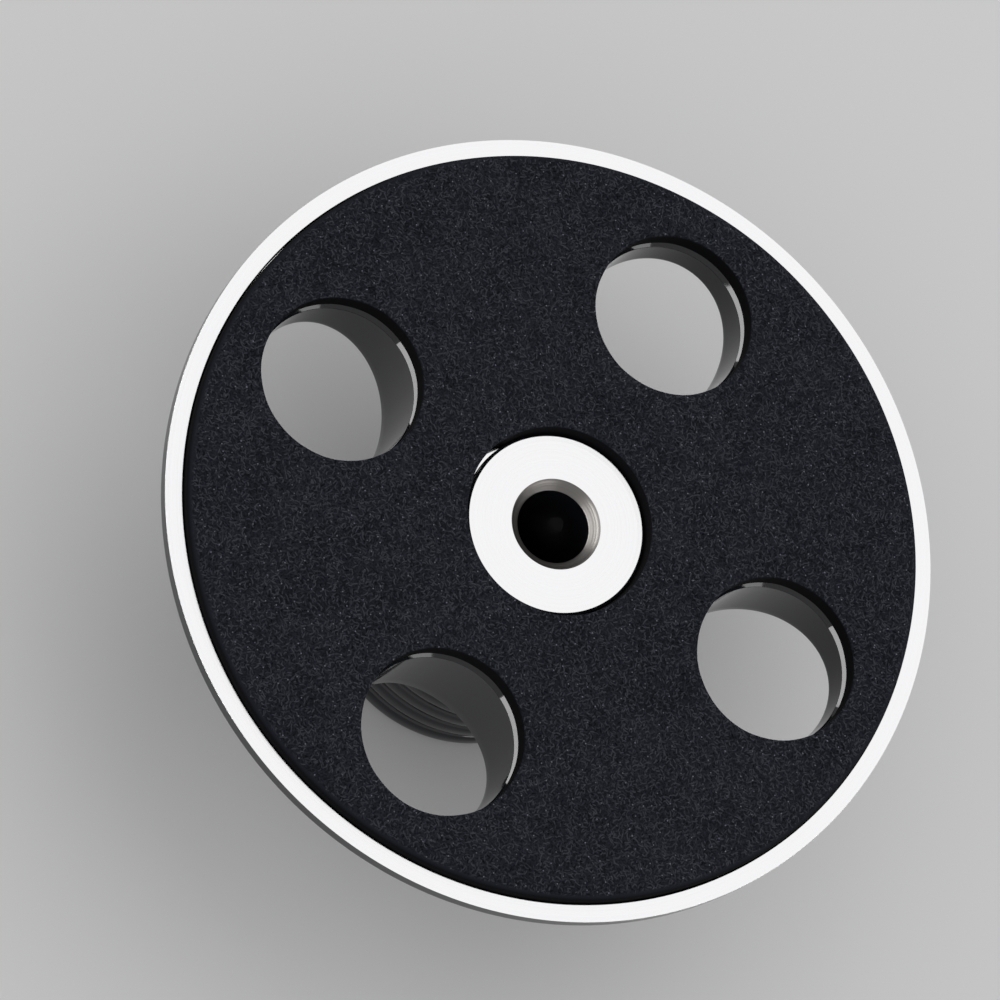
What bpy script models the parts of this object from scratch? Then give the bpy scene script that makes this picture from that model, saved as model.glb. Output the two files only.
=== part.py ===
"""Record weight: a turned aluminium disc with a ribbed knob, four through holes and a foam pad in its underside.

It stands on the end of its knob, underside up, as it is set down when it isn't on a record.
The origin is the centre of the knob's flat end, and +Z runs along the turning axis, out of the underside.
Metres throughout.
"""

import math

import bpy

# Disc, from its rim inwards. The dome's slope falls evenly from its rim angle to its neck angle.
OUTER_RADIUS = 0.040
RIM_WALL = 0.0015
DOME_RIM_ANGLE = math.radians(28.0)
DOME_NECK_ANGLE = math.radians(24.0)
NECK_FILLET = 0.005

# Knob: a short neck, then a stack of round-topped ribs
KNOB_RADIUS = 0.015
NECK_LENGTH = 0.0011
NECK_SHOULDER = 0.0006
RIB_COUNT = 4
RIB_PITCH = 0.0031
RIB_DEPTH = 0.00075
RIB_ROUNDNESS = 2.5
GROOVE_WIDTH = 0.00035

# Underside
RING_WIDTH = 0.0017
RECESS_DEPTH = 0.0011
EDGE_BREAK = 0.0001
BORE_RADIUS = 0.0037
BORE_CHAMFER = 0.00095
BORE_DEPTH = 0.018
DRILL_POINT_ANGLE = math.radians(118.0)
BOSS_LAND = 0.0044

# Through holes, which fill the space between the knob and a land inside the rim
HOLE_COUNT = 4
HOLE_RIM_LAND = 0.0062
HOLE_KNOB_CLEARANCE = 0.0024
HOLE_CHAMFER = 0.0004
FIRST_HOLE_ANGLE = math.radians(45.0)

# Foam pad, held on the recess floor by a film of adhesive
PAD_PROUD = 0.00135
PAD_ADHESIVE_GAP = 0.0003
PAD_RIM_CLEARANCE = 0.0003
PAD_BOSS_CLEARANCE = 0.00045
PAD_HOLE_OVERHANG = 0.0002
PAD_EDGE_ROUND = 0.0004

# How finely curves are divided
TURN_STEPS = 72
HOLE_STEPS = 36
RIB_POINTS = 8
SHOULDER_POINTS = 4
FILLET_POINTS = 6
DOME_POINTS = 5
ROUND_POINTS = 3

# How far a cutter runs past what it cuts
CUTTER_MARGIN = 0.002

# Radii that follow
DOME_INNER_RADIUS = KNOB_RADIUS + NECK_FILLET * (1 - math.sin(DOME_NECK_ANGLE))
DOME_SPAN = OUTER_RADIUS - DOME_INNER_RADIUS
RECESS_RADIUS = OUTER_RADIUS - RING_WIDTH
BOSS_RADIUS = BORE_RADIUS + BORE_CHAMFER + BOSS_LAND
HOLE_OUTER_REACH = OUTER_RADIUS - HOLE_RIM_LAND
HOLE_INNER_REACH = KNOB_RADIUS + HOLE_KNOB_CLEARANCE
HOLE_RADIUS = (HOLE_OUTER_REACH - HOLE_INNER_REACH) / 2
HOLE_CIRCLE_RADIUS = (HOLE_OUTER_REACH + HOLE_INNER_REACH) / 2
PAD_HOLE_RADIUS = HOLE_RADIUS + HOLE_CHAMFER - PAD_HOLE_OVERHANG

# Heights that follow, above the knob's end
DOME_RISE = DOME_SPAN * (math.tan(DOME_RIM_ANGLE) + math.tan(DOME_NECK_ANGLE)) / 2
DISC_HEIGHT = RIM_WALL + DOME_RISE + NECK_FILLET * math.cos(DOME_NECK_ANGLE)
KNOB_HEIGHT = RIB_COUNT * RIB_PITCH + NECK_LENGTH
RING_Z = KNOB_HEIGHT + DISC_HEIGHT
RECESS_Z = RING_Z - RECESS_DEPTH
PAD_BOTTOM_Z = RECESS_Z + PAD_ADHESIVE_GAP
PAD_TOP_Z = RING_Z + PAD_PROUD


def clear_scene():
    for item in list(bpy.data.objects):
        bpy.data.objects.remove(item, do_unlink=True)


def new_collection(name):
    collection = bpy.data.collections.new(name)
    bpy.context.scene.collection.children.link(collection)
    return collection


def principled(name, colour, metallic, roughness):
    material = bpy.data.materials.new(name)
    material.use_nodes = True
    shader = material.node_tree.nodes["Principled BSDF"]
    shader.inputs["Base Color"].default_value = (*colour, 1.0)
    shader.inputs["Metallic"].default_value = metallic
    shader.inputs["Roughness"].default_value = roughness
    return material


def arc(centre_r, centre_z, radius, start, end, points):
    """Points of a circular arc in the profile plane, both ends included."""
    angles = [start + (end - start) * i / (points - 1) for i in range(points)]
    return [(centre_r + radius * math.cos(a), centre_z + radius * math.sin(a)) for a in angles]


def bore_profile():
    """From the drill point on the axis, up the spindle bore to its chamfer."""
    floor_z = RING_Z - BORE_DEPTH
    point_z = floor_z - BORE_RADIUS / math.tan(DRILL_POINT_ANGLE / 2)
    return [
        (0.0, point_z),
        (BORE_RADIUS, floor_z),
        (BORE_RADIUS, RING_Z - BORE_CHAMFER),
        (BORE_RADIUS + BORE_CHAMFER, RING_Z),
    ]


def underside_profile():
    """The boss face, the recess and the ring face, with a small break on each sharp edge."""
    return [
        (BOSS_RADIUS - EDGE_BREAK, RING_Z),
        (BOSS_RADIUS, RING_Z - EDGE_BREAK),
        (BOSS_RADIUS, RECESS_Z),
        (RECESS_RADIUS, RECESS_Z),
        (RECESS_RADIUS, RING_Z - EDGE_BREAK),
        (RECESS_RADIUS + EDGE_BREAK, RING_Z),
        (OUTER_RADIUS - EDGE_BREAK, RING_Z),
        (OUTER_RADIUS, RING_Z - EDGE_BREAK),
    ]


def dome_depth(inwards):
    """How far the dome lies below the rim wall's foot, at this distance in from the rim: a parabola."""
    flattening = (math.tan(DOME_RIM_ANGLE) - math.tan(DOME_NECK_ANGLE)) / DOME_SPAN
    return math.tan(DOME_RIM_ANGLE) * inwards - flattening * inwards**2 / 2


def dome_profile():
    """The disc's domed back, from the rim wall in to the neck fillet."""
    steps = [DOME_SPAN * i / (DOME_POINTS - 1) for i in range(DOME_POINTS)]
    return [(OUTER_RADIUS - inwards, RING_Z - RIM_WALL - dome_depth(inwards)) for inwards in steps]


def neck_profile():
    """The hollow fillet that carries the dome's slope round into the knob's side."""
    start = math.pi / 2 + DOME_NECK_ANGLE
    return arc(KNOB_RADIUS + NECK_FILLET, KNOB_HEIGHT, NECK_FILLET, start, math.pi, FILLET_POINTS)[1:]


def rib_radius(share):
    """The knob's radius at this share of a rib's half width from its middle: a superellipse over the groove."""
    return KNOB_RADIUS - RIB_DEPTH + RIB_DEPTH * (1 - abs(share) ** RIB_ROUNDNESS) ** (1 / RIB_ROUNDNESS)


def shoulder_profile():
    """The neck's lower edge, rounded like a rib down to the first groove."""
    shares = [math.sin(math.pi / 2 * i / SHOULDER_POINTS) for i in range(SHOULDER_POINTS + 1)]
    return [(rib_radius(share), RIB_COUNT * RIB_PITCH + NECK_SHOULDER * (1 - share)) for share in shares]


def rib_profile(index):
    """One rib, counted from the knob's end, its points closest together at its shoulders."""
    half = (RIB_PITCH - GROOVE_WIDTH) / 2
    middle = index * RIB_PITCH + half
    shares = [math.cos(math.pi * i / RIB_POINTS) for i in range(RIB_POINTS + 1)]
    return [(rib_radius(share), middle + half * share) for share in shares]


def knob_profile():
    """The neck's shoulder and each rib below it, down to the flat end."""
    points = shoulder_profile()
    for index in reversed(range(RIB_COUNT)):
        points += rib_profile(index)
    return points + [(0.0, 0.0)]


def pad_profile():
    """A flat ring of foam with rounded upper edges, as a closed loop."""
    inner = BOSS_RADIUS + PAD_BOSS_CLEARANCE
    outer = RECESS_RADIUS - PAD_RIM_CLEARANCE
    round_z = PAD_TOP_Z - PAD_EDGE_ROUND
    points = [(inner, PAD_BOTTOM_Z)]
    points += arc(inner + PAD_EDGE_ROUND, round_z, PAD_EDGE_ROUND, math.pi, math.pi / 2, ROUND_POINTS)
    points += arc(outer - PAD_EDGE_ROUND, round_z, PAD_EDGE_ROUND, math.pi / 2, 0.0, ROUND_POINTS)
    return points + [(outer, PAD_BOTTOM_Z)]


def hole_cutter_profile():
    """A plug for one through hole, flared past the recess floor by as much again as its chamfer."""
    top_z = RECESS_Z + CUTTER_MARGIN
    bottom_z = KNOB_HEIGHT - CUTTER_MARGIN
    wide = HOLE_RADIUS + 2 * HOLE_CHAMFER
    return [
        (0.0, top_z),
        (wide, top_z),
        (wide, RECESS_Z + HOLE_CHAMFER),
        (HOLE_RADIUS, RECESS_Z - HOLE_CHAMFER),
        (HOLE_RADIUS, bottom_z),
        (0.0, bottom_z),
    ]


def pad_cutter_profile():
    """A punch for one hole in the pad, flared in a quarter circle that rounds the foam's upper edge."""
    wide = PAD_HOLE_RADIUS + PAD_EDGE_ROUND
    round_z = PAD_TOP_Z - PAD_EDGE_ROUND
    return [
        (0.0, PAD_TOP_Z + CUTTER_MARGIN),
        (wide, PAD_TOP_Z + CUTTER_MARGIN),
        *arc(wide, round_z, PAD_EDGE_ROUND, math.pi / 2, math.pi, ROUND_POINTS),
        (PAD_HOLE_RADIUS, PAD_BOTTOM_Z - CUTTER_MARGIN),
        (0.0, PAD_BOTTOM_Z - CUTTER_MARGIN),
    ]


def turned(name, profile, collection, steps, closed=False):
    """An object whose profile a Screw modifier turns about Z."""
    mesh = bpy.data.meshes.new(name)
    edges = [(i, i + 1) for i in range(len(profile) - 1)]
    if closed:
        edges.append((len(profile) - 1, 0))
    mesh.from_pydata([(r, 0.0, z) for r, z in profile], edges, [])
    item = bpy.data.objects.new(name, mesh)
    collection.objects.link(item)
    screw = item.modifiers.new("turn", "SCREW")
    screw.axis = "Z"
    screw.angle = 2 * math.pi
    screw.steps = steps
    screw.render_steps = steps
    screw.use_merge_vertices = True
    screw.merge_threshold = 0.00001
    return item


def hole_places():
    """Centres of the through holes, evenly spaced on their circle."""
    angles = [FIRST_HOLE_ANGLE + 2 * math.pi * i / HOLE_COUNT for i in range(HOLE_COUNT)]
    return [(HOLE_CIRCLE_RADIUS * math.cos(a), HOLE_CIRCLE_RADIUS * math.sin(a), 0.0) for a in angles]


def cut_holes(item, name, profile, cutters):
    """Takes one turned cutter out of the item at each hole's place."""
    for index, place in enumerate(hole_places()):
        cutter = turned(f"{name}_{index + 1}", profile, cutters, HOLE_STEPS)
        cutter.location = place
        cutter.hide_render = True
        cutter.display_type = "WIRE"
        boolean = item.modifiers.new(cutter.name, "BOOLEAN")
        boolean.operation = "DIFFERENCE"
        boolean.solver = "EXACT"
        boolean.object = cutter


def make_body(collection, cutters):
    profile = bore_profile() + underside_profile() + dome_profile() + neck_profile() + knob_profile()
    body = turned("weight_body", profile, collection, TURN_STEPS)
    body.data.materials.append(principled("black_aluminium", (0.012, 0.013, 0.016), 0.85, 0.16))
    cut_holes(body, "hole_cutter", hole_cutter_profile(), cutters)
    return body


def make_pad(collection, cutters):
    pad = turned("foam_pad", pad_profile(), collection, TURN_STEPS, closed=True)
    pad.data.materials.append(principled("black_foam", (0.030, 0.032, 0.036), 0.0, 0.80))
    cut_holes(pad, "pad_punch", pad_cutter_profile(), cutters)
    return pad


def shade(item):
    """Smooth faces with sharp edges kept, on the finished shape."""
    item.data.shade_smooth()
    item.data.set_sharp_from_angle(angle=math.radians(30.0))


def main():
    clear_scene()
    parts = new_collection("record_weight")
    cutters = new_collection("cutters")
    cutters.hide_render = True
    for item in (make_body(parts, cutters), make_pad(parts, cutters)):
        shade(item)


main()
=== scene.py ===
"""The looks of a record weight: a turned black disc with a ribbed knob, four holes and a foam pad.

It is laid out as an add-on. Lengths are metres in the part's own frame: the origin is the centre
of the knob's flat end, and +Z runs along the turning axis, out of the padded underside.
"""

import math

import bmesh
import bpy
import numpy as np
from mathutils import Matrix, Quaternion, Vector


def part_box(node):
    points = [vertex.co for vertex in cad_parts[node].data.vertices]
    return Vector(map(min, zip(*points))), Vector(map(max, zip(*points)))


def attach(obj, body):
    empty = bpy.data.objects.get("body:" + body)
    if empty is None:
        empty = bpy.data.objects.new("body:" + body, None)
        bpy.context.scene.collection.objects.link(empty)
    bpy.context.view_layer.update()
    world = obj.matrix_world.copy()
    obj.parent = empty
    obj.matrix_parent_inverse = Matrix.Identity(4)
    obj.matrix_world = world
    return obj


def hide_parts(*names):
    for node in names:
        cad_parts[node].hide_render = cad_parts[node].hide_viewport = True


bl_info = {
    "name": "Record weight",
    "version": (1, 0, 0),
    "blender": (4, 5, 0),
    "location": "3D View > Sidebar > Record weight",
    "description": "Builds the turned body, the foam pad and the studio of a record weight",
    "category": "Object",
}

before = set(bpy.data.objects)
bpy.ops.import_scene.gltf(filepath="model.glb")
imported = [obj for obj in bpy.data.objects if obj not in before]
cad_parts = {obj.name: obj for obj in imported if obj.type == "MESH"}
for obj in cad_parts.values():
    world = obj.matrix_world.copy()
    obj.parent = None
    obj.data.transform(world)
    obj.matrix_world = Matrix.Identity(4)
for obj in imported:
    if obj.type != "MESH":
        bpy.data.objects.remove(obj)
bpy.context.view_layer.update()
RIM_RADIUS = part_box("weight_body")[1].x
RING_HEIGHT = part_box("weight_body")[1].z
PAD_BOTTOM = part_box("foam_pad")[0].z
PAD_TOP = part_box("foam_pad")[1].z


# Sizes and colours that can be set

def length(label, default, description):
    """A length in metres, shown in the scene's own unit."""
    return bpy.props.FloatProperty(
        name=label,
        description=description,
        default=default,
        min=0.0,
        precision=5,
        subtype="DISTANCE",
        unit="LENGTH",
    )


def angle(label, degrees, description):
    """An angle whose default is given in degrees."""
    return bpy.props.FloatProperty(
        name=label,
        description=description,
        default=math.radians(degrees),
        subtype="ANGLE",
        unit="ROTATION",
    )


def count(label, default, description):
    """A whole number of one or more."""
    return bpy.props.IntProperty(name=label, description=description, default=default, min=1)


def share(label, default, description):
    """A number from 0 to 1, such as a roughness."""
    return bpy.props.FloatProperty(
        name=label, description=description, default=default, min=0.0, max=1.0, subtype="FACTOR"
    )


def colour(label, default, description):
    """A colour as linear red, green and blue."""
    return bpy.props.FloatVectorProperty(
        name=label,
        description=description,
        default=default,
        size=3,
        min=0.0,
        max=1.0,
        subtype="COLOR",
    )


class BodySizes(bpy.types.PropertyGroup):
    """Sizes of the turned body."""

    rim_wall: length("Rim wall", 0.0015, "Height of the straight wall round the rim")
    dome_rim_angle: angle("Dome at rim", 28.0, "Slope of the domed back at the rim wall")
    dome_neck_angle: angle("Dome at neck", 24.0, "Slope of the domed back at the neck fillet")
    neck_fillet: length("Neck fillet", 0.005, "Radius of the hollow between dome and knob")
    knob_radius: length("Knob radius", 0.015, "Radius over the knob's ribs")
    neck_shoulder: length("Neck shoulder", 0.0006, "Height of the rounding under the neck")
    rib_count: count("Ribs", 4, "Number of ribs on the knob")
    rib_pitch: length("Rib pitch", 0.0031, "Distance from one rib to the next")
    rib_depth: length("Rib depth", 0.00075, "How far a rib stands out of its groove")
    groove_width: length("Groove width", 0.00035, "Width of a groove's floor")
    ring_width: length("Ring width", 0.0018, "Width of the ring round the pad, with its chamfer")
    ring_edge: length("Ring edge", 0.00008, "Width of the black chamfer inside the bright ring")
    recess_depth: length("Recess depth", 0.0011, "Depth of the pad's recess under the ring")
    bore_radius: length("Bore radius", 0.0037, "Radius of the spindle bore")
    bore_chamfer: length("Bore chamfer", 0.00095, "Width of the bore's chamfer")
    bore_depth: length("Bore depth", 0.018, "Depth of the bore's straight wall under the boss")
    boss_land: length("Boss land", 0.0044, "Width of the boss face round the chamfer")
    boss_edge: length("Boss edge", 0.00025, "Width of the black chamfer round the boss face")
    hole_count: count("Holes", 4, "Number of through holes")
    first_hole: angle("First hole", 45.0, "Angle of the first hole from +X")
    hole_rim_land: length("Rim land", 0.0062, "Metal between a hole and the rim")
    hole_knob_clearance: length("Knob clearance", 0.0024, "Space in plan from hole to knob")
    hole_chamfer: length("Hole chamfer", 0.0004, "Width of the chamfer from hole to recess")
    edge_softness: length("Edge softness", 0.00006, "How far a sharp turned edge is eased")
    columns: count("Columns", 64, "Steps round the body in each hole's share of it")


class PadSizes(bpy.types.PropertyGroup):
    """Sizes of the foam pad."""

    rim_gap: length("Rim gap", 0.00005, "Gap between the pad and the recess wall")
    boss_gap: length("Boss gap", 0.00003, "Gap between the foot of the pad and the boss")
    boss_flare: length("Boss flare", 0.00033, "How much wider that gap is at the pad's top")
    boss_blend: length("Boss blend", 0.0016, "Width of the foam that follows the nick")
    nick_angle: angle("Nick", 126.0, "Direction of the nick in the edge round the boss")
    nick_half_width: angle("Nick half width", 18.0, "Half of the angle that the nick takes up")
    nick_foot: length("Nick at foot", 0.00056, "Depth of the nick at the foot of the pad")
    nick_top: length("Nick at top", 0.00012, "Depth of the nick at the top of the pad")
    hole_overhang: length("Hole overhang", 0.00027, "How far the foam covers a hole's chamfer")
    drift: length("Drift", 0.00012, "How far the punched holes lie off the metal's holes")
    drift_angle: angle("Drift angle", 55.0, "Direction in which the punched holes lie off")
    drift_blend: length("Drift blend", 0.003, "Width of the foam in which the drift fades")
    rim_round: length("Rim rounding", 0.0011, "Size of the soft shoulder round the pad")
    boss_round: length("Boss rounding", 0.00018, "Size of the shoulder round the boss")
    hole_round: length("Hole rounding", 0.0002, "Size of the shoulder round each hole")
    edge_wobble: length("Edge wobble", 0.00004, "How far the cut edges wander")
    fibre_cell: length("Fibre cell", 0.00046, "Spacing of the fibres in the foam's skin")
    fibre_width: length("Fibre width", 0.00013, "Width of one fibre")


class Finishes(bpy.types.PropertyGroup):
    """Colours and gloss of the materials, and the colour of the light all round."""

    coat: colour("Black coat", (0.010, 0.011, 0.014), "The gloss black over the turned metal")
    coat_roughness: share("Coat roughness", 0.05, "Roughness of the black coat")
    bare: colour("Bare metal", (0.90, 0.90, 0.91), "The freshly cut ring, boss and recess")
    bare_roughness: share("Bare roughness", 0.22, "Roughness of the freshly cut faces")
    recess_roughness: share("Recess roughness", 0.07, "Roughness of the recess floor")
    grey: colour("Chamfer metal", (0.21, 0.20, 0.19), "The duller metal of the bore's chamfer")
    grey_roughness: share("Chamfer roughness", 0.40, "Roughness of the bore's chamfer")
    foam: colour("Foam", (0.0124, 0.0136, 0.0188), "The ground of the foam's skin")
    fibre: colour("Foam fibres", (0.045, 0.048, 0.060), "The fibres of the foam's skin")
    # The cut edges' colour is painted shade: it is darker than the foam itself.
    shaded_cut_foam: colour("Cut foam", (0.0045, 0.0047, 0.0056), "The cut edges of the foam")
    floor: colour("Floor", (0.80, 0.80, 0.80), "The studio floor")
    world: colour("World", (0.62, 0.62, 0.62), "The even light from every side")


# Places worked out from the sizes

class Layout:
    """Radii from the turning axis and heights above the knob's end that follow from the sizes."""

    def __init__(self, sizes):
        self.sizes = sizes
        self.rim = RIM_RADIUS
        self.ring_z = RING_HEIGHT
        self.recess_z = RING_HEIGHT - sizes.recess_depth
        self.recess = RIM_RADIUS - sizes.ring_width
        self.bore_mouth = sizes.bore_radius + sizes.bore_chamfer
        self.boss = self.bore_mouth + sizes.boss_land + sizes.boss_edge
        outer_reach = RIM_RADIUS - sizes.hole_rim_land
        inner_reach = sizes.knob_radius + sizes.hole_knob_clearance
        self.hole = (outer_reach - inner_reach) / 2
        self.hole_circle = (outer_reach + inner_reach) / 2
        self.fillet_centre = sizes.knob_radius + sizes.neck_fillet
        self.dome_inner = self.fillet_centre - sizes.neck_fillet * math.sin(sizes.dome_neck_angle)
        self.dome_span = RIM_RADIUS - self.dome_inner
        self.rim_slope = math.tan(sizes.dome_rim_angle)
        self.neck_slope = math.tan(sizes.dome_neck_angle)
        rise = self.dome_span * (self.rim_slope + self.neck_slope) / 2
        self.dome_top = RING_HEIGHT - sizes.rim_wall
        self.neck_z = self.dome_top - rise - sizes.neck_fillet * math.cos(sizes.dome_neck_angle)
        self.half_share = math.pi / sizes.hole_count
        self.side_cells = sizes.columns * 3 // 8

    def back_height(self, radius):
        """Height of the back: a parabola over the dome, and the fillet's circle inside that."""
        inwards = self.rim - radius
        flattening = (self.rim_slope - self.neck_slope) / self.dome_span
        dome = self.dome_top - self.rim_slope * inwards + flattening * inwards**2 / 2
        fillet = self.sizes.neck_fillet
        off_centre = np.clip(self.fillet_centre - radius, 0.0, fillet)
        hollow = self.neck_z + np.sqrt(fillet**2 - off_centre**2)
        return np.where(radius < self.dome_inner, hollow, dome)

    def outline(self, inner, outer):
        """One hole's share of a ring, as a closed loop of points in plan with the hole on +X.

        It runs along the outer arc, in along one side, back along the inner arc and out along
        the other side. A side has three eighths as many points as an arc.
        """
        arc = np.linspace(-self.half_share, self.half_share, self.sizes.columns, endpoint=False)
        side = np.linspace(0.0, 1.0, self.side_cells, endpoint=False)
        ones = np.ones(self.sizes.columns)
        inwards = outer + (inner - outer) * side
        outwards = inner + (outer - inner) * side
        radii = np.concatenate([outer * ones, inwards, inner * ones, outwards])
        edge = np.full(self.side_cells, self.half_share)
        angles = np.concatenate([arc, edge, -arc, -edge])
        return np.stack([radii * np.cos(angles), radii * np.sin(angles)], axis=-1)

    def hole_directions(self):
        """Unit vectors from a hole's centre towards each point of its share's outline."""
        spokes = self.outline(self.sizes.knob_radius, self.rim) - (self.hole_circle, 0.0)
        return spokes / np.linalg.norm(spokes, axis=-1, keepdims=True)

    def hole_loop(self, radius):
        """Points in plan round the hole on +X. The radius is one number or one for each point."""
        return self.hole_directions() * np.reshape(radius, (-1, 1)) + (self.hole_circle, 0.0)

    def raised_loop(self, radius, height):
        """The loop round the hole on +X, at a height."""
        loop = self.hole_loop(radius)
        return np.column_stack([loop, np.full(len(loop), height)])

    def hole_angles(self):
        """The directions of the holes from the turning axis."""
        turns = np.arange(self.sizes.hole_count) / self.sizes.hole_count
        return self.sizes.first_hole + 2 * math.pi * turns


# Surfaces from grids of points

EASED_POINTS = 5
WELD_DISTANCE = 1e-7
ROW_CROWDING = 1.5

# The share, waves round the edge and phase of each sine in a cut edge's wobble

WOBBLE_SINES = ((0.5, 3, 1.1), (0.3, 7, 0.4), (0.2, 13, 2.2))


class Surface:
    """Grids of points gathered into one closed mesh. Each row of faces has its own finish."""

    def __init__(self):
        self.points = []
        self.quads = []
        self.finishes = []
        self.size = 0

    def add(self, grid, finish=0):
        """Joins neighbours in a (rows, columns, 3) grid into quads, last column to first."""
        rows, columns = grid.shape[:2]
        index = self.size + np.arange(rows * columns).reshape(rows, columns)
        beside = np.roll(index, -1, axis=1)
        quads = np.stack([index[:-1], beside[:-1], beside[1:], index[1:]], axis=-1)
        self.points.append(grid.reshape(-1, 3))
        self.quads.append(quads.reshape(-1, 4))
        self.finishes.append(np.repeat(np.broadcast_to(finish, rows - 1), columns))
        self.size += rows * columns

    def add_round_holes(self, grid, angles, finish=0):
        """Adds a grid made for the hole on +X once for each hole, turned about Z."""
        for turn in angles:
            self.add(turned_about_z(grid, turn), finish)

    def to_object(self, name, materials):
        """One smooth mesh object, with its grids welded together and its faces pointing out."""
        mesh = bpy.data.meshes.new(name)
        mesh.from_pydata(np.concatenate(self.points), [], np.concatenate(self.quads))
        finishes = np.concatenate(self.finishes).astype(np.int32)
        mesh.polygons.foreach_set("material_index", finishes)
        for material in materials:
            mesh.materials.append(material)
        welded = bmesh.new()
        welded.from_mesh(mesh)
        bmesh.ops.remove_doubles(welded, verts=welded.verts, dist=WELD_DISTANCE)
        bmesh.ops.recalc_face_normals(welded, faces=welded.faces)
        welded.to_mesh(mesh)
        welded.free()
        mesh.shade_smooth()
        item = bpy.data.objects.new(name, mesh)
        bpy.context.scene.collection.objects.link(item)
        return item


def turned_about_z(grid, turn):
    """The grid rotated about Z: x' = x cos - y sin, y' = x sin + y cos."""
    x, y, z = np.moveaxis(grid, -1, 0)
    cosine = math.cos(turn)
    sine = math.sin(turn)
    return np.stack([x * cosine - y * sine, x * sine + y * cosine, z], axis=-1)


def revolve(layout, profile):
    """A profile of (radius, height) points turned about Z: x = r cos a, y = r sin a."""
    columns = layout.sizes.columns * layout.sizes.hole_count
    start = layout.sizes.first_hole - layout.half_share
    around = start + 2 * math.pi * np.arange(columns) / columns
    radius = profile[:, :1]
    height = profile[:, 1:]
    plan = (radius * np.cos(around), radius * np.sin(around))
    return np.stack(np.broadcast_arrays(*plan, height), axis=-1)


def holed_sheet(layout, inner, outer, hole, height, rows):
    """One hole's share of a ring, lifted to height(radius), with its rows closest at the hole.

    Its points in plan are H + (O - H) s^crowding, which runs from H on the hole at s = 0 to O
    on the outline at s = 1.
    """
    rim = layout.hole_loop(hole)
    outline = layout.outline(inner, outer)
    along = np.linspace(0.0, 1.0, rows + 1)[:, None, None] ** ROW_CROWDING
    plan = rim + (outline - rim) * along
    return np.dstack([plan, height(np.linalg.norm(plan, axis=-1))])


def level(height):
    """A sheet's height that is the same at every radius."""
    return lambda radius: np.full_like(radius, height)


def softened(corners, easing, points=EASED_POINTS):
    """A profile with its inner corners eased, and for each of its steps the side that it is on.

    A corner C becomes the curve (1-t)^2 A + 2t(1-t) C + t^2 B, where A and B lie the corner's
    easing away from C along its two sides. One holding point stands a third of the easing outside
    each of them, so that the flats beside the curve stay flat when shaded.
    """
    corners = np.asarray(corners, float)
    middle = corners[1:-1]
    easing = np.broadcast_to(easing, len(middle))[:, None]
    back = corners[:-2] - middle
    ahead = corners[2:] - middle
    back = back / np.linalg.norm(back, axis=1, keepdims=True) * easing
    ahead = ahead / np.linalg.norm(ahead, axis=1, keepdims=True) * easing
    t = np.linspace(0.0, 1.0, points)[None, :, None]
    curve = middle[:, None] + (1 - t) ** 2 * back[:, None] + t**2 * ahead[:, None]
    before = (middle + back * 4 / 3)[:, None]
    after = (middle + ahead * 4 / 3)[:, None]
    held = np.concatenate([before, curve, after], axis=1)
    profile = np.concatenate([corners[:1], held.reshape(-1, 2), corners[-1:]])
    half = (points + 1) // 2
    steps = np.full(len(corners) - 1, 2 * half + 1)
    steps[[0, -1]] = half + 1
    return profile, np.repeat(np.arange(len(corners) - 1), steps)


def wobble(angles, amount):
    """How far a cut edge wanders: the sum of three sines, share * sin(waves * angle + phase)."""
    sines = (part * np.sin(waves * angles + phase) for part, waves, phase in WOBBLE_SINES)
    return amount * sum(sines)


# The turned body

# Places of its finishes in its list of materials

BLACK, BARE, GREY, RECESS = range(4)

# Points along its curves, and rows across its sheets

FILLET_POINTS = 18
SHOULDER_POINTS = 12
RIB_POINTS = 25
WALL_POINTS = 8
RECESS_ROWS = 10
BACK_ROWS = 28

# The power in a rib's outline, the start of a hole's wall in chamfers, and the drilled cone

RIB_FULLNESS = 2.5
WALL_START = 3
DRILL_SLOPE = math.radians(31.0)

# Where its patches knit together: a share of the neck fillet, and edge softnesses off each edge

KNIT_IN_FILLET = 0.35
KNIT_OFF_RIM = 5
KNIT_OFF_RECESS = 4
KNIT_OFF_BOSS = 4
KNIT_OFF_HOLE = 2


def rib_radius(sizes, across):
    """The knob's radius at a share of a rib's half width: groove + depth (1 - |share|^n)^(1/n)."""
    bulge = (1 - np.abs(across) ** RIB_FULLNESS) ** (1 / RIB_FULLNESS)
    return sizes.knob_radius - sizes.rib_depth * (1 - bulge)


def knob_profile(layout, knit):
    """From the knit radius round the fillet, down the neck and ribs to the flat end's middle."""
    sizes = layout.sizes
    start = math.acos((knit - layout.fillet_centre) / sizes.neck_fillet)
    around = np.linspace(start, math.pi, FILLET_POINTS)
    fillet = np.stack([np.cos(around), np.sin(around)], axis=-1) * sizes.neck_fillet
    fillet += (layout.fillet_centre, layout.neck_z)
    across = np.sin(np.linspace(0.0, math.pi / 2, SHOULDER_POINTS))
    neck_end = sizes.rib_count * sizes.rib_pitch
    shoulder_z = neck_end + sizes.neck_shoulder * (1 - across)
    shoulder = np.stack([rib_radius(sizes, across), shoulder_z], axis=-1)
    across = np.cos(np.linspace(0.0, math.pi, RIB_POINTS))
    half = (sizes.rib_pitch - sizes.groove_width) / 2
    rib = np.stack([rib_radius(sizes, across), half * (1 + across)], axis=-1)
    lift = np.arange(sizes.rib_count)[::-1, None, None] * (0.0, sizes.rib_pitch)
    ribs = (rib + lift).reshape(-1, 2)
    end = [(ribs[-1, 0] - sizes.edge_softness, 0.0), (0.0, 0.0)]
    return np.concatenate([fillet, shoulder, ribs, end])


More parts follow.
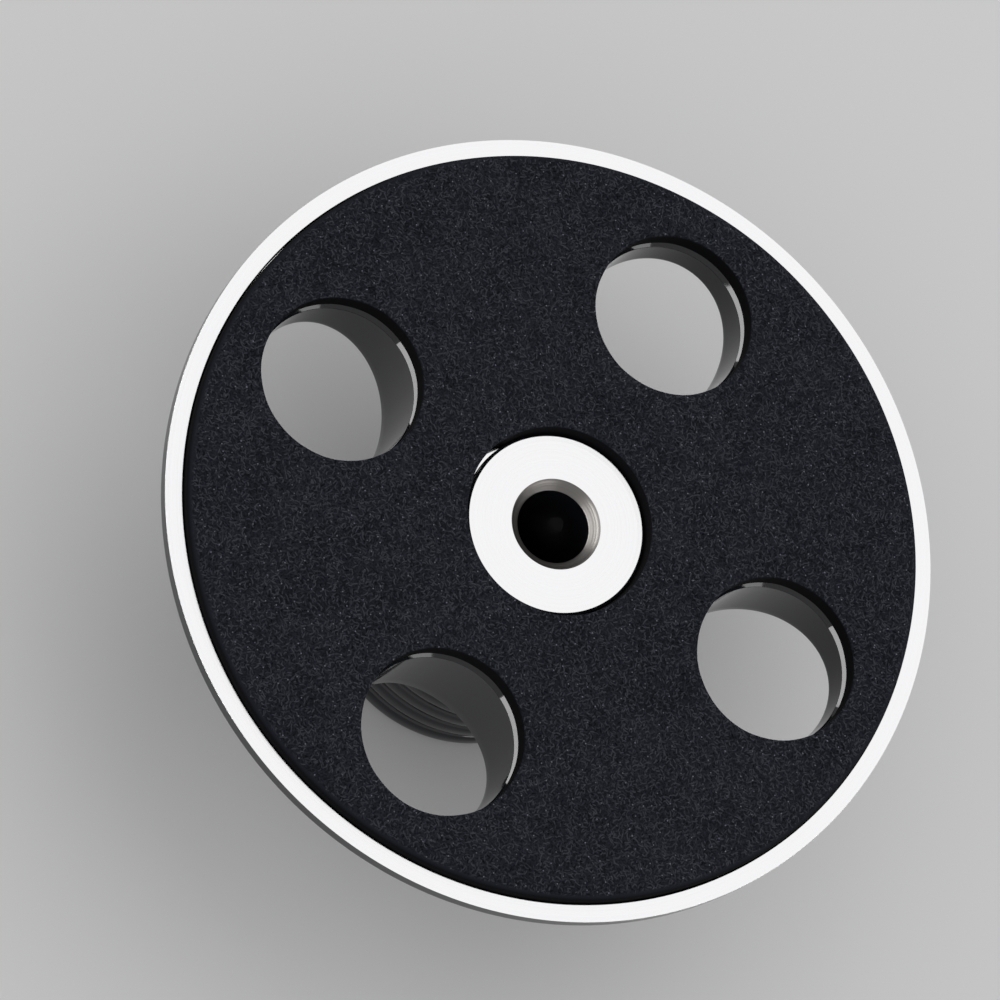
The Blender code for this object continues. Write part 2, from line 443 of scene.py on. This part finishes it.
def rim_profile(layout, knit_floor, knit_dome):
    """From the recess floor up its wall, over the ring and down the rim wall on to the dome."""
    soft = layout.sizes.edge_softness
    edge = layout.sizes.ring_edge
    corners = [
        (knit_floor, layout.recess_z),
        (layout.recess, layout.recess_z),
        (layout.recess, layout.ring_z - edge),
        (layout.recess + edge, layout.ring_z),
        (layout.rim, layout.ring_z),
        (layout.rim, layout.dome_top),
        (knit_dome, float(layout.back_height(knit_dome))),
    ]
    points, sides = softened(corners, (soft, soft / 2, soft / 2, soft / 2, 2 * soft))
    return points, np.take((RECESS, BLACK, BLACK, BARE, BLACK, BLACK), sides)


def boss_profile(layout, knit_floor):
    """From the recess floor up the boss, over its face and chamfer and down to the drill point."""
    sizes = layout.sizes
    soft = sizes.edge_softness
    floor_z = layout.ring_z - sizes.bore_depth
    point_z = floor_z - sizes.bore_radius * math.tan(DRILL_SLOPE)
    corners = [
        (knit_floor, layout.recess_z),
        (layout.boss, layout.recess_z),
        (layout.boss, layout.ring_z - sizes.boss_edge),
        (layout.boss - sizes.boss_edge, layout.ring_z),
        (layout.bore_mouth, layout.ring_z),
        (sizes.bore_radius, layout.ring_z - sizes.bore_chamfer),
        (sizes.bore_radius, floor_z),
        (0.0, point_z),
    ]
    points, sides = softened(corners, (soft, soft / 2, soft / 2, soft / 2, soft, 4 * soft))
    return points, np.take((RECESS, BLACK, BLACK, BARE, GREY, BLACK, BLACK), sides)


def hole_wall(layout, knit_floor, knit_dome):
    """One hole's wall as a grid: its chamfer, its straight side and the eased edge at the dome.

    That edge follows the curve in softened. The straight side starts a few chamfers down.
    """
    sizes = layout.sizes
    wall_top = layout.recess_z - WALL_START * sizes.hole_chamfer
    corners = [
        (knit_floor, layout.recess_z),
        (layout.hole + sizes.hole_chamfer, layout.recess_z),
        (layout.hole, layout.recess_z - sizes.hole_chamfer),
        (layout.hole, wall_top),
    ]
    profile, _ = softened(corners, sizes.edge_softness / 2)
    chamfer = np.array([layout.raised_loop(radius, height) for radius, height in profile])
    rim = layout.hole_loop(layout.hole)
    corner_z = layout.back_height(np.linalg.norm(rim, axis=-1))
    ease = knit_dome - layout.hole
    down = np.linspace(0.0, 1.0, WALL_POINTS)[1:, None]
    side_z = wall_top + (corner_z + ease - wall_top) * down
    side = np.dstack([np.broadcast_to(rim, (len(down), *rim.shape)), side_z])
    foot = layout.hole_loop(knit_dome)
    foot_z = layout.back_height(np.linalg.norm(foot, axis=-1))
    t = np.linspace(0.0, 1.0, EASED_POINTS)[1:, None]
    edge_plan = rim + (t**2)[..., None] * (foot - rim)
    edge_z = (1 - t) ** 2 * (corner_z + ease) + 2 * t * (1 - t) * corner_z + t**2 * foot_z
    return np.concatenate([chamfer, side, np.dstack([edge_plan, edge_z])])


def body_surface(layout):
    """The whole outside of the turned body, split where its patches knit together."""
    sizes = layout.sizes
    soft = sizes.edge_softness
    knit_knob = layout.dome_inner - KNIT_IN_FILLET * sizes.neck_fillet
    knit_rim = layout.rim - KNIT_OFF_RIM * soft
    knit_boss = layout.boss + KNIT_OFF_BOSS * soft
    knit_recess = layout.recess - KNIT_OFF_RECESS * soft
    knit_chamfer = layout.hole + sizes.hole_chamfer + KNIT_OFF_HOLE * soft
    knit_edge = layout.hole + KNIT_OFF_HOLE * soft
    surface = Surface()
    surface.add(revolve(layout, knob_profile(layout, knit_knob)), BLACK)
    rim, rim_finishes = rim_profile(layout, knit_recess, knit_rim)
    surface.add(revolve(layout, rim), rim_finishes)
    boss, boss_finishes = boss_profile(layout, knit_boss)
    surface.add(revolve(layout, boss), boss_finishes)
    angles = layout.hole_angles()
    floor_z = level(layout.recess_z)
    floor = holed_sheet(layout, knit_boss, knit_recess, knit_chamfer, floor_z, RECESS_ROWS)
    surface.add_round_holes(floor, angles, RECESS)
    back = holed_sheet(layout, knit_knob, knit_rim, knit_edge, layout.back_height, BACK_ROWS)
    surface.add_round_holes(back, angles, BLACK)
    surface.add_round_holes(hole_wall(layout, knit_chamfer, knit_edge), angles, BLACK)
    return surface


# The foam pad

# Points along an edge, rows across a sheet, and how much sharper its foot is than its shoulder

PAD_EDGE_POINTS = 13
PAD_ROWS = 12
FOOT_SHARPNESS = 9

# Where its patches knit together, in roundings off the edge

KNIT_OFF_PAD_RIM = 1.5
KNIT_OFF_PUNCHED = 4


def pad_edge(near, knit, shoulder, flare=0.0):
    """Profile of an edge of the pad: from the knit radius on its top, round and back under it."""
    corners = [(knit, PAD_TOP), (near + flare, PAD_TOP), (near, PAD_BOTTOM), (knit, PAD_BOTTOM)]
    return softened(corners, (shoulder, shoulder / FOOT_SHARPNESS), PAD_EDGE_POINTS)[0]


def pad_surface(layout, sizes):
    """The foam ring: two holed sheets, an outer edge, a nicked inner edge and the punched edges."""
    inner = layout.boss + sizes.boss_gap
    outer = layout.recess - sizes.rim_gap
    punched = layout.hole + layout.sizes.hole_chamfer - sizes.hole_overhang
    knit_in = inner + sizes.boss_blend
    knit_out = outer - KNIT_OFF_PAD_RIM * sizes.rim_round
    knit_hole = punched + KNIT_OFF_PUNCHED * sizes.hole_round
    surface = Surface()
    patches = [
        holed_sheet(layout, knit_in, knit_out, knit_hole, level(height), PAD_ROWS)
        for height in (PAD_TOP, PAD_BOTTOM)
    ]
    patches.append(punched_edge(layout, punched, knit_hole, sizes))
    for patch in patches:
        for turn in layout.hole_angles():
            surface.add(drifted(turned_about_z(patch, turn), knit_in, knit_out, sizes))
    outer_edge = revolve(layout, pad_edge(outer, knit_out, sizes.rim_round))
    surface.add(wandering(outer_edge, knit_out, outer, sizes.edge_wobble))
    inner_edge = revolve(layout, pad_edge(inner, knit_in, sizes.boss_round, sizes.boss_flare))
    surface.add(nicked(inner_edge, knit_in, inner, sizes))
    return surface


def edge_weight(radius, knit, near):
    """From 0 at the knit radius to 1 at the edge, with a smooth start and end: 3w^2 - 2w^3."""
    weight = np.clip((radius - knit) / (near - knit), 0.0, 1.0)
    return weight**2 * (3 - 2 * weight)


def polar(grid):
    """The distance of each point from the turning axis, and its direction: atan2(y, x)."""
    return np.hypot(grid[..., 0], grid[..., 1]), np.arctan2(grid[..., 1], grid[..., 0])


def drifted(grid, inner, outer, sizes):
    """Moves the sheet between its round edges sideways, so that its holes lie a little off."""
    radius, _ = polar(grid)
    from_inner = edge_weight(radius, inner, inner + sizes.drift_blend)
    from_outer = edge_weight(radius, outer, outer - sizes.drift_blend)
    weight = from_inner * from_outer
    direction = np.array((math.cos(sizes.drift_angle), math.sin(sizes.drift_angle), 0.0))
    return grid + weight[..., None] * sizes.drift * direction


def wandering(grid, knit, near, amount):
    """Moves an edge in by its wobble, more the nearer a point is to the edge."""
    radius, around = polar(grid)
    inwards = edge_weight(radius, knit, near) * (amount + wobble(around, amount)) / radius
    return grid * np.stack([1 - inwards, 1 - inwards, np.ones_like(radius)], axis=-1)


def nicked(grid, knit, near, sizes):
    """Presses the edge round the boss outwards by depth * (1 - (a / half width)^4).

    The angle a is measured from the nick's middle, and the depth changes evenly from the pad's
    foot to its top.
    """
    radius, around = polar(grid)
    off = (around - sizes.nick_angle + math.pi) % (2 * math.pi) - math.pi
    window = np.clip(1 - (off / sizes.nick_half_width) ** 4, 0.0, 1.0)
    up = (grid[..., 2] - PAD_BOTTOM) / (PAD_TOP - PAD_BOTTOM)
    depth = sizes.nick_foot + (sizes.nick_top - sizes.nick_foot) * up
    outwards = 1 + edge_weight(radius, knit, near) * window * depth / radius
    return grid * np.stack([outwards, outwards, np.ones_like(radius)], axis=-1)


def punched_edge(layout, punched, knit, sizes):
    """The edge of the foam round the hole on +X, with its wobble: centre + direction * radius."""
    directions = layout.hole_directions()
    around = np.arctan2(directions[:, 1], directions[:, 0])
    rows = []
    for radius, height in pad_edge(punched, knit, sizes.hole_round):
        wander = edge_weight(radius, knit, punched) * wobble(around, sizes.edge_wobble)
        rows.append(layout.raised_loop(radius + wander, height))
    return np.array(rows)


# Materials

# Places of the colour sockets in a Mix node

MIX_FIRST = 6
MIX_SECOND = 7
MIX_RESULT = 2

# The rings that turning leaves: waves to a metre of radius, and what they do to the surface

COAT_RINGS = 2500.0
BARE_RINGS = 4000.0
GREY_RINGS = 6000.0
RING_DETAIL = 2.0
RING_SMOOTHEST = 0.8
RING_ROUGHEST = 1.25
RING_BUMP = 0.12
RING_DEPTH = 0.000004

# The foam's skin, with its scales in waves to a metre

FOAM_ROUGHNESS = 0.85
FOAM_SPECULAR = 0.05
BEND_SCALE = 1100.0
BEND_REACH = 0.00016
GRAIN_SCALE = 5200.0
GRAIN_RELIEF = 0.4
PATCH_SCALE = 330.0
# Pit marks darken the ground: that darkening is painted shade.
PAINTED_PIT_SHADE = 0.7
SPECK_CELL = 0.001
SPECK_BRIGHTNESS = 4.4
SKIN_BUMP = 0.35
SKIN_RELIEF = 0.00005
PLAIN_BRIGHTNESS = 1.3

# Depths below the pad's top: the skin is whole and ends, the cut edges' painted shade starts and is
# whole

SKIN_WHOLE = 0.00003
SKIN_ENDS = 0.00024
EDGE_SHADE_STARTS = 0.0001
EDGE_SHADE_WHOLE_INSIDE = 0.00025
EDGE_SHADE_WHOLE_OUTSIDE = 0.0006

# The radii within and beyond which the last two hold

INSIDE_RADIUS = 0.034
OUTSIDE_RADIUS = 0.036

# Its three layers of fibres and one of pit marks in painted shade: their cells' size, and their
# shift

FIBRE_LAYERS = ((1.0, 0.0), (0.8, 0.137), (1.3, 0.291), (0.9, 0.413))

# Where a fibre fades and ends, sideways in widths and lengthways in cells, and its greatest bow

SIDE_FADES = 0.15
SIDE_ENDS = 0.75
REACH_FADES = 0.35
REACH_ENDS = 0.7
FIBRE_BOW = 1.6
FIBRE_BRIGHTNESS = 1.2


class Finish:
    """A material with one Principled shader, and short ways to add nodes to it.

    Its settings are the shader's other sockets, each written with _ for a space.
    """

    def __init__(self, name, base, metallic, roughness, **settings):
        self.material = bpy.data.materials.new(name)
        self.material.use_nodes = True
        self.nodes = self.material.node_tree.nodes
        self.links = self.material.node_tree.links
        self.shader = self.nodes["Principled BSDF"]
        self.set("Base Color", (*base, 1.0))
        self.set("Metallic", metallic)
        self.set("Roughness", roughness)
        for socket, value in settings.items():
            self.set(socket.replace("_", " "), value)

    def set(self, socket, value):
        """Gives one of the shader's sockets a value."""
        self.shader.inputs[socket].default_value = value

    def link(self, output, socket):
        """Joins an output to one of the shader's sockets."""
        self.links.new(output, self.shader.inputs[socket])

    def node(self, kind, inputs=(), **settings):
        """A new node with these settings, its inputs as {name or number: value or output}."""
        node = self.nodes.new(kind)
        for key, value in settings.items():
            setattr(node, key, value)
        for key, value in dict(inputs).items():
            if isinstance(value, bpy.types.NodeSocket):
                self.links.new(value, node.inputs[key])
            else:
                node.inputs[key].default_value = value
        return node

    def math(self, operation, *values):
        """Arithmetic on numbers."""
        return self.node("ShaderNodeMath", dict(enumerate(values)), operation=operation).outputs[0]

    def product(self, first, *others):
        """The numbers multiplied together, from left to right."""
        for value in others:
            first = self.math("MULTIPLY", first, value)
        return first

    def vector(self, operation, *values):
        """Arithmetic on vectors."""
        inputs = dict(enumerate(values))
        return self.node("ShaderNodeVectorMath", inputs, operation=operation).outputs

    def ramp(self, value, low, high, out_low=0.0, out_high=1.0):
        """The value carried smoothly from one range to another."""
        inputs = {
            "Value": value,
            "From Min": low,
            "From Max": high,
            "To Min": out_low,
            "To Max": out_high,
        }
        return self.node("ShaderNodeMapRange", inputs, interpolation_type="SMOOTHSTEP").outputs[0]

    def object_coordinates(self):
        """The point's place in the part's frame."""
        return self.node("ShaderNodeTexCoord").outputs["Object"]

    def radius(self):
        """Distance from the turning axis: the length of (x, y, 0)."""
        flat = self.vector("MULTIPLY", self.object_coordinates(), (1.0, 1.0, 0.0))["Vector"]
        return self.vector("LENGTH", flat)["Value"]

    def noise(self, where, scale, detail, output="Fac"):
        """Noise through space, as one number or as a colour of three."""
        inputs = {"Vector": where, "Scale": scale, "Detail": detail}
        return self.node("ShaderNodeTexNoise", inputs).outputs[output]

    def ring_noise(self, scale):
        """Noise along the distance from the turning axis, which gives rings."""
        inputs = {"W": self.radius(), "Scale": scale, "Detail": RING_DETAIL}
        return self.node("ShaderNodeTexNoise", inputs, noise_dimensions="1D").outputs["Fac"]

    def cells(self, where, size):
        """Irregular cells in plan: each one's centre and random colour, and the distance to it."""
        inputs = {"Vector": where, "Scale": 1 / size, "Randomness": 1.0}
        return self.node("ShaderNodeTexVoronoi", inputs, voronoi_dimensions="2D").outputs

    def channels(self, tint):
        """The three numbers of a colour."""
        return self.node("ShaderNodeSeparateColor", {0: tint}).outputs

    def axes(self, vector):
        """The three numbers of a vector."""
        return self.node("ShaderNodeSeparateXYZ", {0: vector}).outputs

    def scaled(self, tint, factor):
        """A colour times a number."""
        inputs = {0: tuple(tint), "Scale": factor}
        return self.node("ShaderNodeVectorMath", inputs, operation="SCALE").outputs[0]

    def mix(self, factor, first, second):
        """From the first colour to the second, and past it where the factor is over 1."""
        inputs = {"Factor": factor}
        for place, tint in ((MIX_FIRST, first), (MIX_SECOND, second)):
            inputs[place] = tint if isinstance(tint, bpy.types.NodeSocket) else (*tint, 1.0)
        node = self.node("ShaderNodeMix", inputs, data_type="RGBA", clamp_factor=False)
        return node.outputs[MIX_RESULT]

    def bump(self, height, strength, distance):
        """Relief from a height: the distance is what a height of 1 stands for."""
        inputs = {"Height": height, "Strength": strength, "Distance": distance}
        self.link(self.node("ShaderNodeBump", inputs).outputs["Normal"], "Normal")


def turned_finish(name, base, metallic, roughness, waves, **settings):
    """Turned metal: rings of fine noise move its roughness a little and score it faintly."""
    finish = Finish(name, base, metallic, roughness, **settings)
    rings = finish.ring_noise(waves)
    smoothest = roughness * RING_SMOOTHEST
    roughest = roughness * RING_ROUGHEST
    varied = finish.ramp(rings, low=0.3, high=0.7, out_low=smoothest, out_high=roughest)
    finish.link(varied, "Roughness")
    finish.bump(rings, RING_BUMP, RING_DEPTH)
    return finish.material


def bent_plan(finish, where):
    """The point's place with a small random shift in plan, so that the fibres aren't regular."""
    bend = finish.noise(where, BEND_SCALE, detail=1.0, output="Color")
    bend = finish.vector("SUBTRACT", bend, (0.5, 0.5, 0.5))["Vector"]
    return finish.vector("MULTIPLY_ADD", bend, (BEND_REACH, BEND_REACH, 0.0), where)["Vector"]


def fibre_layer(finish, plan, cell, width, offset):
    """Short, slightly bowed fibres, one to a cell, each at its own angle and brightness.

    With d the point's offset from its cell's centre, turned by the cell's random angle, and b its
    random bow, the fibre shows where |d.y + b d.x^2| is under its half width and |d.x| is under
    its half length, and fades towards both.
    """
    place = finish.vector("ADD", plan, (offset, -offset, 0.0))["Vector"]
    cells = finish.cells(place, cell)
    away = finish.vector("SUBTRACT", place, cells["Position"])["Vector"]
    random = finish.channels(cells["Color"])
    inputs = {"Vector": away, "Angle": finish.math("MULTIPLY", random[0], 2 * math.pi)}
    turned = finish.node("ShaderNodeVectorRotate", inputs, rotation_type="Z_AXIS").outputs[0]
    x, y, _ = finish.axes(turned)
    bow = finish.math("MULTIPLY", finish.math("SUBTRACT", random[2], 0.5), FIBRE_BOW / cell)
    bent = finish.math("MULTIPLY_ADD", finish.product(x, x), bow, y)
    off = finish.math("ABSOLUTE", bent)
    line = finish.ramp(off, width * SIDE_FADES, width * SIDE_ENDS, out_low=1.0, out_high=0.0)
    along = finish.math("ABSOLUTE", x)
    reach = finish.ramp(along, cell * REACH_FADES, cell * REACH_ENDS, out_low=1.0, out_high=0.0)
    brightness = finish.product(random[1], random[1], FIBRE_BRIGHTNESS)
    return finish.product(line, reach, brightness)


def specks(finish, where):
    """Bright specks in the middle of some cells, each of its own brightness."""
    cells = finish.cells(where, SPECK_CELL)
    near = finish.ramp(cells["Distance"], low=0.03, high=0.10, out_low=1.0, out_high=0.0)
    chance = finish.channels(cells["Color"])[0]
    brightness = finish.ramp(chance, low=0.4, high=1.0, out_high=SPECK_BRIGHTNESS)
    return finish.product(near, brightness)


def foam_skin(finish, colours, sizes, where):
    """The colour and relief of the foam's skin: fibres, specks, grain, and pit marks in painted
    shade.
    """
    plan = bent_plan(finish, where)
    first, second, third, pit_shade = (
        fibre_layer(finish, plan, sizes.fibre_cell * scale, sizes.fibre_width, offset)
        for scale, offset in FIBRE_LAYERS
    )
    fibres = finish.math("MAXIMUM", finish.math("MAXIMUM", first, second), third)
    light = finish.math("ADD", fibres, specks(finish, where))
    fine = finish.noise(where, GRAIN_SCALE, detail=1.0)
    grain = finish.ramp(fine, low=0.25, high=0.75, out_low=0.55, out_high=1.40)
    coarse = finish.noise(where, PATCH_SCALE, detail=3.0)
    patches = finish.ramp(coarse, low=0.3, high=0.7, out_low=0.8, out_high=1.15)
    # Pit marks darken the ground as painted shade.
    outside_pit_shade = finish.math("MULTIPLY_ADD", pit_shade, -PAINTED_PIT_SHADE, 1.0)
    ground = finish.scaled(colours.foam, finish.product(grain, outside_pit_shade, patches))
    relief = finish.math("ADD", light, finish.math("MULTIPLY", grain, GRAIN_RELIEF))
    return finish.mix(light, ground, colours.fibre), relief


def foam_finish(colours, sizes):
    """Black foam: its skin on top, plain foam a little below that, and cut edges in painted shade.

    That painted shade, a darker colour, comes in more slowly at the rim than at the holes.
    """
    finish = Finish(
        "black_foam", colours.foam, 0.0, FOAM_ROUGHNESS, Specular_IOR_Level=FOAM_SPECULAR
    )
    where = finish.object_coordinates()
    skin, relief = foam_skin(finish, colours, sizes, where)
    plain = [PLAIN_BRIGHTNESS * part for part in colours.foam]
    height = finish.axes(where)[2]
    skinned = finish.ramp(height, PAD_TOP - SKIN_ENDS, PAD_TOP - SKIN_WHOLE)
    # The cut edges and shoulders darken towards the cut colour, which is painted shade.
    edge_shade_depth = finish.ramp(
        finish.radius(), INSIDE_RADIUS, OUTSIDE_RADIUS, EDGE_SHADE_WHOLE_INSIDE, EDGE_SHADE_WHOLE_OUTSIDE
    )
    edge_shade_whole = finish.math("SUBTRACT", PAD_TOP, edge_shade_depth)
    outside_edge_shade = finish.ramp(height, edge_shade_whole, PAD_TOP - EDGE_SHADE_STARTS)
    top = finish.mix(skinned, plain, skin)
    finish.link(finish.mix(outside_edge_shade, colours.shaded_cut_foam, top), "Base Color")
    finish.bump(finish.math("MULTIPLY", relief, skinned), SKIN_BUMP, SKIN_RELIEF)
    return finish.material


# Operators for the two pieces

class RECORD_WEIGHT_OT_body(bpy.types.Operator):
    """Builds the turned body with its bright faces, holes, bore and ribbed knob"""

    bl_idname = "record_weight.body"
    bl_label = "Turned body"

    def execute(self, context):
        look = context.scene.record_weight_finishes
        materials = [
            turned_finish("black_coat", look.coat, 0.0, look.coat_roughness, COAT_RINGS, IOR=1.5),
            turned_finish("bare_metal", look.bare, 1.0, look.bare_roughness, BARE_RINGS),
            turned_finish("chamfer_metal", look.grey, 1.0, look.grey_roughness, GREY_RINGS),
            turned_finish("recess_metal", look.bare, 1.0, look.recess_roughness, BARE_RINGS),
        ]
        layout = Layout(context.scene.record_weight_body)
        body = body_surface(layout).to_object("turned_body", materials)
        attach(body, "root")
        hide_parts("weight_body")
        return {"FINISHED"}


class RECORD_WEIGHT_OT_pad(bpy.types.Operator):
    """Builds the punched foam ring that is glued into the recess"""

    bl_idname = "record_weight.pad"
    bl_label = "Foam pad"

    def execute(self, context):
        sizes = context.scene.record_weight_pad
        layout = Layout(context.scene.record_weight_body)
        material = foam_finish(context.scene.record_weight_finishes, sizes)
        pad = pad_surface(layout, sizes).to_object("punched_foam_pad", [material])
        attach(pad, "root")
        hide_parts("foam_pad")
        return {"FINISHED"}


# The studio

FLOOR_RADIUS = 6.0
FLOOR_CORNERS = 96
FLOOR_HEIGHT = -0.00005
FLOOR_ROUGHNESS = 0.7

# The photograph's camera: its place from the ring's centre, its picture's axes and its lens

CAMERA_PLACE = (-0.2249, -0.1046, 0.5148)
CAMERA_RIGHT = (0.9043, -0.2722, 0.3290)
CAMERA_DOWN = (-0.1834, -0.9434, -0.2764)
CAMERA_LENS = 209.04
SENSOR_WIDTH = 36.0


def add_lamp(name, azimuth, elevation, distance, width, height, power):
    """A soft rectangular lamp at a direction in degrees and a distance from the ring's centre.

    It faces the ring along (cos a cos e, sin a cos e, sin e).
    """
    lamp = bpy.data.lights.new(name, "AREA")
    lamp.shape = "RECTANGLE"
    lamp.size = width
    lamp.size_y = height
    lamp.energy = power
    item = bpy.data.objects.new(name, lamp)
    turn = math.radians(azimuth)
    lift = math.radians(elevation)
    flat = math.cos(lift)
    outwards = Vector((math.cos(turn) * flat, math.sin(turn) * flat, math.sin(lift)))
    item.location = Vector((0.0, 0.0, RING_HEIGHT)) + outwards * distance
    item.rotation_euler = outwards.to_track_quat("Z", "Y").to_euler()
    item.visible_camera = False
    bpy.context.scene.collection.objects.link(item)
    return item


def add_strip(name, roll, **lamp):
    """A thin lamp, rolled about its own axis, that shows in gloss and leaves matt faces alone."""
    strip = add_lamp(name, **lamp)
    rolled = Quaternion((0.0, 0.0, 1.0), math.radians(roll))
    strip.rotation_euler = (strip.rotation_euler.to_quaternion() @ rolled).to_euler()
    strip.visible_diffuse = False


def add_floor(base):
    """A round floor well past the view, just under the knob's end."""
    mesh = bpy.data.meshes.new("floor")
    shape = bmesh.new()
    bmesh.ops.create_circle(shape, cap_ends=True, radius=FLOOR_RADIUS, segments=FLOOR_CORNERS)
    shape.to_mesh(mesh)
    shape.free()
    floor = bpy.data.objects.new("floor", mesh)
    floor.location.z = FLOOR_HEIGHT
    bpy.context.scene.collection.objects.link(floor)
    finish = Finish("pale_floor", base, 0.0, FLOOR_ROUGHNESS, Specular_IOR_Level=0.0)
    mesh.materials.append(finish.material)


def set_world(tint):
    """An even pale light from every side."""
    world = bpy.data.worlds.new("studio")
    world.use_nodes = True
    light = world.node_tree.nodes["Background"]
    light.inputs["Color"].default_value = (*tint, 1.0)
    light.inputs["Strength"].default_value = 1.0
    bpy.context.scene.world = world


def add_camera():
    """The photograph's camera, in terms of the ring's plane and axis."""
    camera = bpy.data.cameras.new("camera")
    camera.sensor_width = SENSOR_WIDTH
    camera.lens = CAMERA_LENS
    item = bpy.data.objects.new("camera", camera)
    right = Vector(CAMERA_RIGHT)
    back = right.cross(-Vector(CAMERA_DOWN)).normalized()
    turn = Matrix((right.normalized(), back.cross(right).normalized(), back)).transposed()
    x, y, z = CAMERA_PLACE
    item.matrix_world = Matrix.Translation((x, y, z + RING_HEIGHT)) @ turn.to_4x4()
    bpy.context.scene.collection.objects.link(item)
    bpy.context.scene.camera = item


class RECORD_WEIGHT_OT_studio(bpy.types.Operator):
    """Sets the floor, the world, the soft lamps and the camera"""

    bl_idname = "record_weight.studio"
    bl_label = "Studio"

    def execute(self, context):
        look = context.scene.record_weight_finishes
        add_floor(look.floor)
        set_world(look.world)
        add_lamp(
            "key", azimuth=25.0, elevation=62.0, distance=0.9, width=1.3, height=1.0, power=1.63
        )
        add_strip(
            "side", roll=12.0,
            azimuth=154.0, elevation=23.0, distance=0.8, width=1.3, height=0.12, power=3.9,
        )
        add_strip(
            "front", roll=0.0,
            azimuth=-60.0, elevation=8.0, distance=0.9, width=1.0, height=0.26, power=2.4,
        )
        add_camera()
        context.scene.view_settings.view_transform = "Standard"
        return {"FINISHED"}


# The panel, and the add-on's registration

STEPS = (RECORD_WEIGHT_OT_studio, RECORD_WEIGHT_OT_body, RECORD_WEIGHT_OT_pad)


class RECORD_WEIGHT_PT_panel(bpy.types.Panel):
    """Lists the sizes, the finishes and the steps"""

    bl_label = "Record weight"
    bl_space_type = "VIEW_3D"
    bl_region_type = "UI"
    bl_category = "Record weight"

    def draw(self, context):
        scene = context.scene
        groups = (scene.record_weight_body, scene.record_weight_pad, scene.record_weight_finishes)
        for group in groups:
            box = self.layout.box()
            for name in group.__annotations__:
                box.prop(group, name)
        for step in STEPS:
            self.layout.operator(step.bl_idname)


CLASSES = (BodySizes, PadSizes, Finishes, *STEPS, RECORD_WEIGHT_PT_panel)


def register():
    for item in CLASSES:
        bpy.utils.register_class(item)
    bpy.types.Scene.record_weight_body = bpy.props.PointerProperty(type=BodySizes)
    bpy.types.Scene.record_weight_pad = bpy.props.PointerProperty(type=PadSizes)
    bpy.types.Scene.record_weight_finishes = bpy.props.PointerProperty(type=Finishes)


def unregister():
    del bpy.types.Scene.record_weight_finishes
    del bpy.types.Scene.record_weight_pad
    del bpy.types.Scene.record_weight_body
    for item in reversed(CLASSES):
        bpy.utils.unregister_class(item)


def main():
    register()
    bpy.ops.record_weight.studio()
    bpy.ops.record_weight.body()
    bpy.ops.record_weight.pad()


if __name__ == "__main__":
    main()
